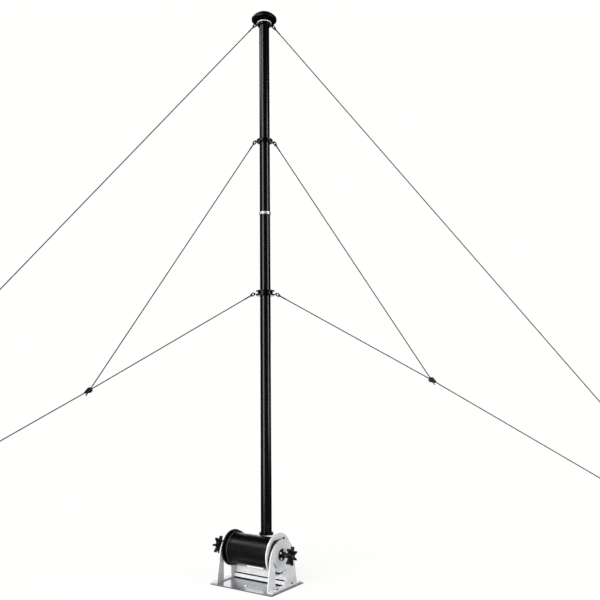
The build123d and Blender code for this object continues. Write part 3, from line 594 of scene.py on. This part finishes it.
for side, word in WORD.items():
    low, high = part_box(f"star_knob_{word}")
    bm = bmesh.new()
    points = KNOB_ARMS * POINTS_AN_ARM
    ring = bmesh.ops.create_circle(bm, cap_ends=True, segments=points, radius=1.0)["verts"]
    for point in ring:
        angle = atan2(point.co.y, point.co.x)
        radius = sum(star_radius(angle + near * 2 * pi / points) for near in range(-2, 3)) / 5 * MM
        point.co = (radius * cos(angle), radius * sin(angle), 0.0)
    raised = bmesh.ops.extrude_face_region(bm, geom=bm.faces[:], use_keep_orig=True)["geom"]
    bmesh.ops.translate(bm, vec=(0, 0, high.x - low.x), verts=corners_in(raised))
    bmesh.ops.recalc_face_normals(bm, faces=bm.faces)
    soften(bm, KNOB_ROUNDING, 3, 80.0)
    set_down(bm, by_axle(low.x), (1, 0, 0))
    inner_x, outer_x = (low.x, high.x) if side > 0 else (high.x, low.x)
    boss = turned(BOSS_OUTLINE, 40)
    set_down(boss, by_axle(inner_x), (side, 0, 0))
    fit_piece(joined(bm, boss), f"knob_star_{word}", f"knob_{word}", nylon,
              [f"star_knob_{word}"])
    bush = turned(BUSH_OUTLINE, 32)
    set_down(bush, by_axle(outer_x), (side, 0, 0))
    fit_piece(bush, f"knob_bush_{word}", f"knob_{word}", bush_grey_and_lip_highlight)

# %% [markdown]
# ## Reel details
# The spring plunger that locks the reel drops into a bushed hole near the right flange's rim. The left
# flange has a low raised lip on its inner face, coloured grey as a painted highlight along its rim.

# %% Lock bush and flange lip
right_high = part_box("flange_right")[1]
LOCK_TURN = radians(32.0)  # back from the top
LOCK_REACH = 114.0  # mm from the axle
BUSH_SUNK = 7.6  # mm from the flange's outer face to the bush's inner end
lock_at = Vector((right_high.x - BUSH_SUNK * MM, AXLE.y + LOCK_REACH * MM * sin(LOCK_TURN),
                  AXLE.z + LOCK_REACH * MM * cos(LOCK_TURN)))
bush_outline = [(0, 0), (6.4, 0), (6.4, 7.7), (9.5, 7.7), (9.5, 9), (5.0, 9), (5.0, 3), (0, 3)]
bush = soften(turned(bush_outline, 28), 0.3, 1)
fit_piece(set_down(bush, lock_at, (1, 0, 0)), "lock_bush", "reel", housing)
left_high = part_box("flange_left")[1]
LIP_IN, LIP_OUT = 113, 119  # mm from the axle
LIP_HIGH = 3
lip_outline = [(LIP_IN, -1), (LIP_OUT, -1), (LIP_OUT, LIP_HIGH), (LIP_IN, LIP_HIGH)]
lip = soften(turned(lip_outline, 128), 1.4, 3)
set_down(lip, by_axle(left_high.x), (1, 0, 0))
# The lip's grey colour is a painted highlight along its rim.
fit_piece(lip, "flange_lip", "reel", bush_grey_and_lip_highlight)

# %% [markdown]
# ## Painted shadow between the bars
# The two bars are folded sheet with upright webs. The shadow in the slot between them is painted as a
# near-black strip, and a second, rounder strip paints the contact shadow along the lower bar's foot.
# Each is a block or a rod as long as the bar, with its long edges rounded.

# %% Painted shadow strips
bar_low, bar_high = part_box("tie_bar_upper")
foot_low, foot_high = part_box("tie_bar_lower")
bar_length = (bar_high.x - bar_low.x) / MM - 1.0
SLOT_SHADOW_DEPTH, SLOT_SHADOW_HEIGHT = 5.0, 9.0
SLOT_SHADOW_AHEAD, SLOT_SHADOW_RISE = 2.7, 1.0  # mm, its middle: in front of the upper bar, above the lower one
FOOT_SHADOW_RADIUS = 4.0
FOOT_SHADOW_AHEAD, FOOT_SHADOW_RISE = 3.0, 3.2  # mm, its middle: in front of the lower bar, above the base
# This near-black strip paints the shadow in the slot between the bars.
slot_shadow = block(bar_length, SLOT_SHADOW_DEPTH, SLOT_SHADOW_HEIGHT, 1.2, 2)
set_down(slot_shadow, Vector((0.0, bar_low.y - SLOT_SHADOW_AHEAD * MM, foot_high.z + SLOT_SHADOW_RISE * MM)))
fit_piece(slot_shadow, "painted_slot_shadow", "stand", shadow_black)
half = bar_length / 2
# This near-black rod paints the contact shadow along the lower bar's foot.
foot_shadow_outline = [(0, -half), (FOOT_SHADOW_RADIUS, -half), (FOOT_SHADOW_RADIUS, half), (0, half)]
foot_shadow = soften(turned(foot_shadow_outline, 24), 0.8, 2, 60.0)
set_down(foot_shadow, Vector((0.0, foot_low.y - FOOT_SHADOW_AHEAD * MM, base_top + FOOT_SHADOW_RISE * MM)), (1, 0, 0))
fit_piece(foot_shadow, "painted_foot_shadow", "stand", shadow_black)

# %% [markdown]
# ## Collars on the mast
# The guy collars are moulded rings that slide over the mast from the top. The lower one is a spool
# with two round rims, the upper one a single ring with a groove, and the sleeve under the cap is a
# plain one. Each carries two flat eyes for the guy links. Rings and eyes are turned shapes.

# %% Guy collars with their eyes
BORE = TUBE_RADIUS / MM + 0.3  # mm, with room to slide over the tube
EYE_TURN = radians(45.0)  # both planes of guys stand at this angle to the base
OUTWARD = {side: Vector((cos(EYE_TURN), sin(EYE_TURN), 0)) * side for side in WORD}
EYE_THICK = 5.0
EYE_HOLE = 7.0
EYE_RADIUS = 13.0
TONGUE_WIDTH = 24.0
TONGUE_SUNK = 4  # mm from the bore to the tongue's inner end, inside the collar's wall
TONGUE_SHORT = 9  # mm from its outer end to the hole's middle, so the hole stays open


def eyes(reach, z):
    """Two opposite flat eyes with their holes at this reach from the mast's middle, in mm."""
    shapes = []
    for outward in OUTWARD.values():
        place = by_mast(z)
        rim_outline = [(EYE_HOLE, 0), (EYE_RADIUS, 0), (EYE_RADIUS, EYE_THICK), (EYE_HOLE, EYE_THICK)]
        rim = soften(turned(rim_outline, 40), 1.0, 2, 60.0)
        shapes.append(set_down(rim, place + outward * reach * MM))
        inner, outer = BORE + TONGUE_SUNK, reach - TONGUE_SHORT
        tongue = block(outer - inner, TONGUE_WIDTH, EYE_THICK - 0.4, 1.0, 2)
        middle = place + outward * (inner + outer) / 2 * MM + Vector((0, 0, EYE_THICK / 2 * MM))
        shapes.append(set_down(tongue, middle, turn=EYE_TURN))
    return shapes


def collar(name, node, outline, eye_reach, eye_rise, rounding):
    """A turned collar with its eyes, in place of a measured one. The bore closes its outline."""
    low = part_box(node)[0]
    section = [(BORE, outline[0][1])] + outline + [(BORE, outline[-1][1])]
    ring = soften(turned(section, 96), rounding, 3, 40.0)
    set_down(ring, by_mast(low.z))
    whole = joined(ring, *eyes(eye_reach, low.z + eye_rise * MM))
    fit_piece(whole, name, "stand", collar_nylon, [node])


collar("lower_guy_spool", "lower_collar",
       [(70, 0), (70, 11), (56, 11), (56, 30), (70, 30), (70, 41)], 78.0, 11.0, 3.2)
collar("upper_guy_ring", "upper_collar",
       [(63, 0), (63, 7.5), (60.5, 10), (63, 12.5), (63, 20)], 65.0, 0.0, 2.6)
collar("top_guy_sleeve", "cap_sleeve", [(53.5, 0), (53.5, 42)], 60.0, 0.0, 2.0)

# %% [markdown]
# A bright steel ring is sprung into a groove round the sleeve and holds it shut on the mast. It is a
# full circle of round wire, so a small circle spun once round the mast makes it.

# %% Steel ring round the sleeve
sleeve_middle = centre_of("cap_sleeve")
RING_WIRE = 3.4  # mm, the radius of the wire
RING_RADIUS = 54.0
bm = bmesh.new()
wire_at = Matrix.Translation((RING_RADIUS * MM, 0, 0)) @ Matrix.Rotation(pi / 2, 4, "X")
bmesh.ops.create_circle(bm, cap_ends=False, segments=16, radius=RING_WIRE * MM, matrix=wire_at)
bmesh.ops.spin(bm, geom=bm.verts[:] + bm.edges[:], cent=(0, 0, 0), axis=(0, 0, 1), angle=2 * pi,
               steps=96, use_merge=True)
bmesh.ops.remove_doubles(bm, verts=bm.verts, dist=0.001 * MM)
bmesh.ops.recalc_face_normals(bm, faces=bm.faces)
set_down(bm, by_mast(sleeve_middle.z))
fit_piece(bm, "sleeve_ring", "stand", zinc)

# %% [markdown]
# ## Mushroom cap
# The cap keeps rain out of the tube. It is a moulded shell: a dome on a rounded rim, hollow from below
# apart from a solid middle that sits on the mast. Its whole section is one outline, spun once.

# %% Mushroom cap
cap_low, cap_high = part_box("mast_cap")
CAP_RADIUS = (cap_high.x - cap_low.x) / 2 / MM
CAP_RIM = 17.0
CAP_DOME = (cap_high.z - cap_low.z) / MM - CAP_RIM
CAP_WALL = 6.0
CAP_BOSS = 57.0  # mm, the radius of the solid middle
CAP_EDGE_IN, CAP_EDGE_UP = 2.5, 3  # mm, the slope that takes the sharpness off the lower edge
BALL = (CAP_RADIUS ** 2 + CAP_DOME ** 2) / (2 * CAP_DOME)


def dome_height(radius, inset=0.0):
    """The dome's height in mm above the cap's underside. An inset gives its inner face."""
    return CAP_RIM + CAP_DOME - BALL + ((BALL - inset) ** 2 - radius ** 2) ** 0.5


outer_steps = [CAP_RADIUS * (1 - k / 14) for k in range(15)]
inner_steps = [CAP_BOSS + (CAP_RADIUS - CAP_WALL - CAP_BOSS) * k / 5 for k in range(6)]
outline = [(0, 0), (CAP_BOSS, 0)] + [(r, dome_height(r, CAP_WALL)) for r in inner_steps]
outline += [(CAP_RADIUS - CAP_WALL, 0), (CAP_RADIUS - CAP_EDGE_IN, 0), (CAP_RADIUS, CAP_EDGE_UP)]
outline += [(r, dome_height(r)) for r in outer_steps]
bm = turned(outline, 128)
set_down(bm, by_mast(cap_low.z))
fit_piece(bm, "mast_cap_shell", "stand", cap_shell, ["mast_cap"])
print("cap", round(2 * CAP_RADIUS), "mm across, dome", round(CAP_DOME), "mm high")

# %% [markdown]
# ## Band on the tube
# Between the two collars, a stainless worm-drive band stops the tube's lap from opening. The band has
# rolled rims, and its worm housing with the screw sits at the back, over the lap.

# %% Worm-drive band
band_low, band_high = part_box("joint_band")
band_outline = [(BORE, 0), (44.4, 0), (45.3, 1.2), (45.3, 3.4), (44.5, 4.6), (44.5, 15.4), (45.3, 16.6),
                (45.3, 18.8), (44.4, 20), (BORE, 20)]
band_ring = turned(band_outline, 120)
set_down(band_ring, by_mast(band_low.z))
WORM_SUNK = 8  # mm from the measured box's back to the worm's middle
worm_box = block(14, 15, 17, 3.0, 3)
worm_middle = Vector((MAST.x, band_high.y - WORM_SUNK * MM, (band_low.z + band_high.z) / 2))
set_down(worm_box, worm_middle)
worm_outline = [(0, -9), (4.5, -9), (4.5, 7), (6.5, 7), (6.5, 12), (5.5, 13), (1.2, 13), (1.2, 11), (0, 11)]
worm = set_down(turned(worm_outline, 24), worm_middle, (1, 0, 0))
fit_piece(joined(band_ring, worm_box, worm), "worm_drive_band", "stand", band_steel,
          ["joint_band"])

# %% [markdown]
# ## Guy ropes
# A guy is one braided rope from its link at the mast to the clamp or the ground, pulled straight, with
# a spliced loop round each link. A straight run is a circle extruded once, and a loop is a circle spun
# round. The braid finish needs to know how far round and how far along each corner lies, so the same
# cell writes both to a UV map, unwrapped about each face's middle so that no face straddles the seam.

# %% Rope helpers
ROPE_RADIUS = 4.0
LOOP_RADIUS = 10.0
LOOP_WIRE = 4.5
LINK_TO_LOOP = 17.2  # mm from a link's middle to the middle of its rope's loop
NO_PERIOD = 1e6  # mm, longer than any rope


def braid_map(bm, faces, measure, period):
    """Writes turns round the rope and millimetres along it, which start again after a period."""
    layer = bm.loops.layers.uv.get("braid") or bm.loops.layers.uv.new("braid")
    for face in faces:
        here = measure(face.calc_center_median())
        for corner in face.loops:
            there = measure(corner.vert.co)
            round_it = (there[0] - here[0] + 0.5) % 1.0 - 0.5
            along_it = (there[1] - here[1] + period / 2) % period - period / 2
            corner[layer].uv = (here[0] + round_it, here[1] + along_it)


def add_run(bm, start, end, radius=ROPE_RADIUS):
    """A straight, closed run of rope between two points."""
    along = (end - start).normalized()
    aim = along.to_track_quat("Z", "Y").to_matrix()
    side_a, side_b = aim.col[0], aim.col[1]
    old = set(bm.faces)
    bmesh.ops.create_circle(bm, cap_ends=True, segments=20, radius=radius * MM,
                            matrix=Matrix.Translation(start) @ aim.to_4x4())
    cap = [f for f in bm.faces if f not in old]
    made = bmesh.ops.extrude_face_region(bm, geom=cap, use_keep_orig=True)["geom"]
    bmesh.ops.translate(bm, vec=end - start, verts=corners_in(made))
    faces = [f for f in bm.faces if f not in old]
    bmesh.ops.recalc_face_normals(bm, faces=faces)

    def measure(point):
        out = point - start
        return atan2(out.dot(side_b), out.dot(side_a)) / (2 * pi), out.dot(along) / MM
    braid_map(bm, faces, measure, NO_PERIOD)


def add_loop(bm, middle, along, across):
    """A spliced loop: a round ring of rope whose axis is square to the rope and to this direction."""
    axis = along.cross(across).normalized()
    old = set(bm.faces)
    section = (Matrix.Translation(middle + along * LOOP_RADIUS * MM)
               @ along.cross(axis).to_track_quat("Z", "Y").to_matrix().to_4x4())
    ring = bmesh.ops.create_circle(bm, cap_ends=False, segments=16, radius=LOOP_WIRE * MM,
                                   matrix=section)["verts"]
    edges = list({e for v in ring for e in v.link_edges})
    bmesh.ops.spin(bm, geom=ring + edges, cent=middle, axis=axis, angle=2 * pi, steps=40,
                   use_merge=True)
    bmesh.ops.remove_doubles(bm, verts=bm.verts, dist=0.001 * MM)
    faces = [f for f in bm.faces if f not in old]
    bmesh.ops.recalc_face_normals(bm, faces=faces)
    girth = 2 * pi * LOOP_RADIUS
    sideways = axis.cross(along)

    def measure(point):
        out = point - middle
        flat = out - axis * out.dot(axis)
        turn = atan2(out.dot(axis), flat.length - LOOP_RADIUS * MM) / (2 * pi)
        return turn, atan2(flat.dot(sideways), flat.dot(along)) / (2 * pi) * girth
    braid_map(bm, faces, measure, girth)


def guy_end(link, toward):
    """Where a rope's loop has its middle, and the rope's direction, at a link on the way to a point."""
    middle = centre_of(link)
    along = (toward - middle).normalized()
    return middle + along * LINK_TO_LOOP * MM, along


print("rope", 2 * ROPE_RADIUS, "mm thick, loops", 2 * LOOP_RADIUS, "mm across")

# %% [markdown]
# Each side has four ropes. The top guy runs in one length from the cap's sleeve to the ground plate. The
# upper and the lower guy meet in a rope clamp, and the ground guy goes on from there to the same plate.
# All four are made in one loop, because only their two ends differ.

# %% Guy ropes
SPLICE = 46.0  # mm of thicker whipping next to a loop
WHIPPING = 1.2  # mm, how much thicker
CLAMP_HALF = 20.0  # mm, the radius of a clamp's round end
CLAMP_PINCH = 13.0  # mm from that end's middle to where the ropes meet
clamp_spots = {}
for side, word in WORD.items():
    outward = OUTWARD[side]
    low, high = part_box(f"rope_clamp_{word}")
    near = low if side > 0 else high
    inner = Vector((near.x, near.y, high.z - CLAMP_HALF * MM))
    clamp_spots[side] = inner + outward * (CLAMP_HALF + CLAMP_PINCH) * MM
    ends = {"top_guy": (f"top_link_{word}", f"anchor_link_high_{word}"),
            "upper_guy": (f"upper_link_{word}", None), "lower_guy": (f"lower_link_{word}", None),
            "ground_guy": (f"anchor_link_low_{word}", None)}
    for guy, (link, far_link) in ends.items():
        target = centre_of(far_link) if far_link else clamp_spots[side]
        middle, along = guy_end(link, target)
        in_plane = along.cross(outward).cross(along).normalized()
        sideways = along.cross(in_plane)
        loop_across = sideways if "anchor" not in link else in_plane
        bm = bmesh.new()
        start = middle + along * LOOP_RADIUS * MM
        if far_link:
            far_middle, far_along = guy_end(far_link, centre_of(link))
            end = far_middle + far_along * LOOP_RADIUS * MM
            add_loop(bm, far_middle, far_along, in_plane)
            add_run(bm, end, end + far_along * SPLICE * MM, ROPE_RADIUS + WHIPPING)
        else:
            end = target
        add_run(bm, start, end)
        add_run(bm, start, start + along * SPLICE * MM, ROPE_RADIUS + WHIPPING)
        add_loop(bm, middle, along, loop_across)
        fit_piece(bm, f"{guy}_rope_{word}", "stand", rope_finish, [f"{guy}_{word}"])
    print(word, "guys meet at", [round(c / MM) for c in clamp_spots[side]])

# %% [markdown]
# ## Clamp pins and anchor pegs
# A clamp's wedge turns on a steel pin, whose two heads show on its flanks, and the end of the upper
# guy comes out below it as a short tail. The ground plates are held by four pegs with round heads.

# %% Clamp pins, rope tails and pegs
TAIL = 42.0  # mm of free rope below a clamp
TAIL_WHIP_BACK, TAIL_WHIP_ON = 6, 4  # mm that its whipping covers and reaches past the end
TAIL_WHIPPING = 1.0  # mm, how much thicker
PLATE_THICK = 8.0
PIN_OUTLINE = [(0, -15.5), (6, -15.5), (7.5, -14), (7.5, -12.5), (5, -12.5), (5, 12.5), (7.5, 12.5),
               (7.5, 14), (6, 15.5), (0, 15.5)]
PEG_OUTLINE = [(0, -2), (11, -2), (13, 0), (13, 3), (9, 6), (0, 7)]
PEG_REACH, PEG_SPREAD = 68.0, 38.0  # mm from a ground plate's middle, along the guys and across
for side, word in WORD.items():
    outward = OUTWARD[side]
    sideways = Vector((0, 0, 1)).cross(outward)
    spot = clamp_spots[side]
    pin = set_down(turned(PIN_OUTLINE, 24), spot, sideways)
    fit_piece(pin, f"clamp_pin_{word}", "stand", black_steel)
    tail_way = (spot - centre_of(f"upper_link_{word}")).normalized()
    bm = bmesh.new()
    add_run(bm, spot, spot + tail_way * TAIL * MM)
    add_run(bm, spot + tail_way * (TAIL - TAIL_WHIP_BACK) * MM,
            spot + tail_way * (TAIL + TAIL_WHIP_ON) * MM, ROPE_RADIUS + TAIL_WHIPPING)
    fit_piece(bm, f"rope_tail_{word}", "stand", rope_finish)
    plate_low, plate_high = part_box(f"ground_anchor_{word}")
    middle = (plate_low + plate_high) / 2
    middle.z = plate_low.z + PLATE_THICK * MM
    pegs = [middle + outward * a * MM + sideways * b * MM
            for a in (-PEG_REACH, PEG_REACH) for b in (-PEG_SPREAD, PEG_SPREAD)]
    heads = [set_down(turned(PEG_OUTLINE, 24), peg) for peg in pegs]
    fit_piece(joined(*heads), f"anchor_pegs_{word}", "stand", black_steel)

# %% [markdown]
# ## Light, floor and world
# The light is that of a small product studio. A tall strip lamp on the left and a narrower one on
# the right give the two stripes on the tube. A far, high box gives the drum its soft highlight, and a
# fill from the front whitens the plates' edges but is kept out of every mirror, so black stays black.
# A dimmer panel stands behind the object.

# %% Lamps
def area_lamp(name, place, aim_at, width, height, radiance, mirrored=True):
    """A rectangular lamp whose face has this radiance, where 1 is the light of a white wall.

    A lamp that isn't mirrored lights every surface but is seen in none."""
    lamp = bpy.data.lights.new(name, "AREA")
    lamp.shape = "RECTANGLE"
    lamp.size, lamp.size_y = width, height
    lamp.energy = radiance * pi * width * height
    holder = bpy.data.objects.new(name, lamp)
    place, aim_at = Vector(place), Vector(aim_at)
    aim = (place - aim_at).to_track_quat("Z", "Y").to_matrix().to_4x4()
    holder.matrix_world = Matrix.Translation(place) @ aim
    holder.visible_camera = False
    holder.visible_glossy = mirrored
    bpy.context.scene.collection.objects.link(holder)
    print(name, "gives", round(lamp.energy), "W")


def round_the_mast(azimuth, distance, height):
    """A point at this azimuth from +X, in degrees, and this distance from the mast."""
    return (MAST.x + distance * cos(radians(azimuth)), MAST.y + distance * sin(radians(azimuth)),
            height)


area_lamp("left_strip", round_the_mast(-99, 3.6, 3.2), round_the_mast(0, 0, 3.2),
          width=1.5, height=6.4, radiance=5.0)
area_lamp("right_strip", round_the_mast(12, 3.6, 2.9), round_the_mast(0, 0, 2.9),
          width=1.1, height=4.4, radiance=5.6)
area_lamp("high_box", round_the_mast(-146, 10.5, 9.8), (0, 0, 0.2),
          width=4.6, height=3.4, radiance=4.5)
area_lamp("front_fill", round_the_mast(-80, 3.6, 1.5), (0, 0, 0.3),
          width=2.5, height=2.5, radiance=4.0, mirrored=False)
area_lamp("back_panel", round_the_mast(128, 3.4, 1.15), (0, 0, 0.3),
          width=3.4, height=1.5, radiance=1.7)

# %% [markdown]
# The room around the object is white to the camera, which gives the clean background, soft and pale to
# matt surfaces, and dim to mirrors, as the dark corners of a studio are.

# %% World: white to the camera, dim to mirrors, soft to everything else
world = bpy.data.worlds.new("studio")
bpy.context.scene.world = world
world.use_nodes = True
tree = world.node_tree
tree.nodes.clear()
rays = add_node(tree, "ShaderNodeLightPath")
soft = add_node(tree, "ShaderNodeBackground", {"Color": linear("#f4f5f7"), "Strength": 0.48})
white = add_node(tree, "ShaderNodeBackground", {"Color": (1.0, 1.0, 0.992, 1.0), "Strength": 1.0})
room = add_node(tree, "ShaderNodeBackground", {"Color": linear("#0e0e0f"), "Strength": 1.0})
seen = add_node(tree, "ShaderNodeMath", {"operation": "MAXIMUM"},
                {0: rays.outputs["Is Camera Ray"], 1: rays.outputs["Is Transmission Ray"]})
mirrored = add_node(tree, "ShaderNodeMixShader", {},
                    {0: rays.outputs["Is Glossy Ray"], 1: soft.outputs[0], 2: room.outputs[0]})
shown = add_node(tree, "ShaderNodeMixShader", {},
                 {0: seen.outputs[0], 1: mirrored.outputs[0], 2: white.outputs[0]})
add_node(tree, "ShaderNodeOutputWorld", {}, {0: shown.outputs[0]})
print("world ready")

# %% [markdown]
# The floor is matt paper. Near the object it keeps part of the object's soft shadow, and farther out it
# fades to the background's white. Mirrors see it dim, so the black drum and tube keep their dark sides.

# %% Floor
SHADOW_END, WHITE_FROM = 0.4, 1.8  # metres from the origin between which the floor fades to white
FLOOR_REACH = 30.0  # metres to each side
FLOOR_DROP = 0.0005  # metres below the object's foot, so that the two faces don't fight
floor_finish = bpy.data.materials.new("white_studio_floor")
floor_finish.use_nodes = True
tree = floor_finish.node_tree
tree.nodes.clear()
rays = add_node(tree, "ShaderNodeLightPath")
place = add_node(tree, "ShaderNodeTexCoord")
reach = add_node(tree, "ShaderNodeVectorMath", {"operation": "LENGTH"}, {0: place.outputs["Object"]})
fade = {"interpolation_type": "SMOOTHSTEP", **spread(0.84, 1.0, SHADOW_END, WHITE_FROM)}
far = add_node(tree, "ShaderNodeMapRange", fade, {0: reach.outputs["Value"]})
paper = add_node(tree, "ShaderNodeMix",
                 {"data_type": "RGBA", 6: (1, 1, 0.992, 1), 7: linear("#3a3b3c")},
                 {0: rays.outputs["Is Glossy Ray"]})
sheet = add_node(tree, "ShaderNodeBsdfDiffuse", {"Color": linear("#f2f2f0")})
glow = add_node(tree, "ShaderNodeEmission", {"Strength": 1.0}, {"Color": paper.outputs[2]})
seen = add_node(tree, "ShaderNodeMath", {"operation": "MAXIMUM"},
                {0: rays.outputs["Is Camera Ray"], 1: rays.outputs["Is Glossy Ray"]})
share = add_node(tree, "ShaderNodeMath", {"operation": "MULTIPLY"},
                 {0: seen.outputs[0], 1: far.outputs[0]})
look = add_node(tree, "ShaderNodeMixShader", {},
                {0: share.outputs[0], 1: sheet.outputs[0], 2: glow.outputs[0]})
add_node(tree, "ShaderNodeOutputMaterial", {}, {0: look.outputs[0]})

bm = bmesh.new()
bmesh.ops.create_grid(bm, x_segments=4, y_segments=4, size=FLOOR_REACH)
mesh = bpy.data.meshes.new("studio_floor")
bm.to_mesh(mesh)
bm.free()
mesh.materials.append(floor_finish)
floor = bpy.data.objects.new("studio_floor", mesh)
floor.location.z = -FLOOR_DROP
bpy.context.scene.collection.objects.link(floor)
bpy.context.scene.view_settings.view_transform = "Standard"
print("floor ready")
